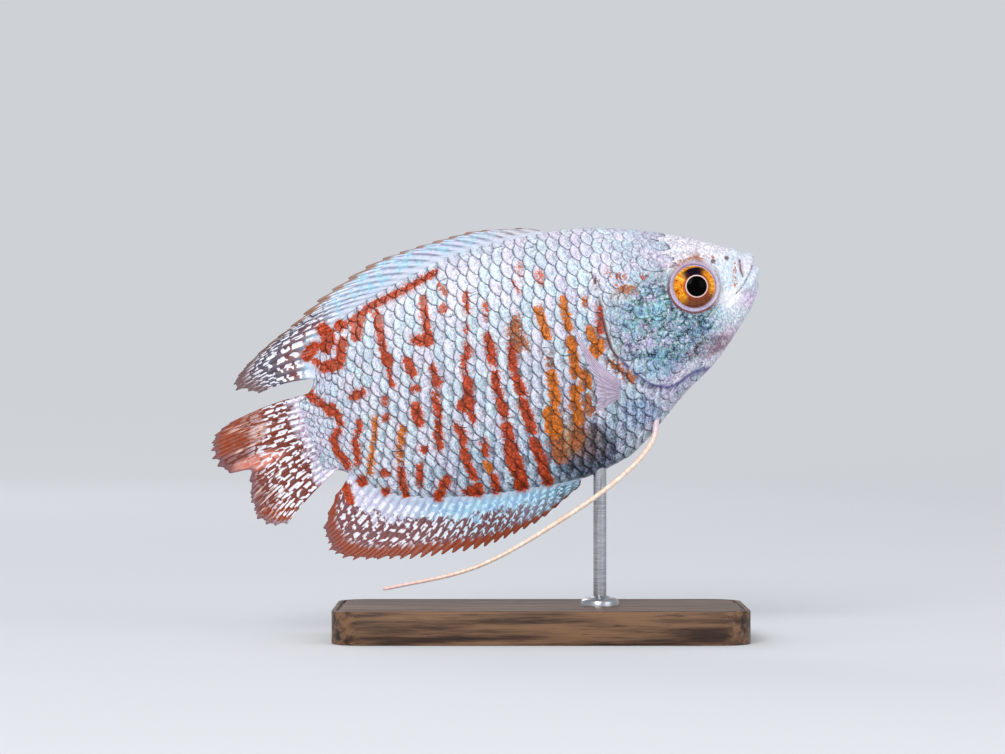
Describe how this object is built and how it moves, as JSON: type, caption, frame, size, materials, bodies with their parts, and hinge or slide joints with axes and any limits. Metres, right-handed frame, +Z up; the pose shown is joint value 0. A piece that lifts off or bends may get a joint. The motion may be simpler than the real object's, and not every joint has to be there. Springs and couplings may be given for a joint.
{
  "type": "dwarf gourami fish model",
  "caption": "Life-size still model of a male dwarf gourami swimming nose up, held over a small flat display base by a slim rod.",
  "frame": {"origin": "middle of the stand's underside, on the surface it rests on", "axes": "+Z up, +X the way the fish swims, +Y to the fish's left"},
  "size_m": [0.067, 0.026, 0.0501],
  "materials": {
    "skin": "satin, pearly, with red and blue bars",
    "eye": "glossy",
    "fin": "satin, part see-through at the edges",
    "clear_fin": "satin, see-through",
    "thread": "satin",
    "base": "satin varnish, dark",
    "rod": "brushed"
  },
  "bodies": {
    "root": {"head": "skin", "trunk": "skin", "tail_stalk": "skin", "eye_left": "eye", "eye_right": "eye", "dorsal_fin": "fin", "anal_fin": "fin", "tail_fin": "fin", "pectoral_fin_left": "clear_fin", "pectoral_fin_right": "clear_fin", "feeler_left_root": "thread", "feeler_left_middle": "thread", "feeler_left_tip": "thread", "feeler_right_root": "thread", "feeler_right_middle": "thread", "feeler_right_tip": "thread", "stand_base": "base", "stand_rod": "rod", "stand_collar": "rod"}
  },
  "joints": []
}
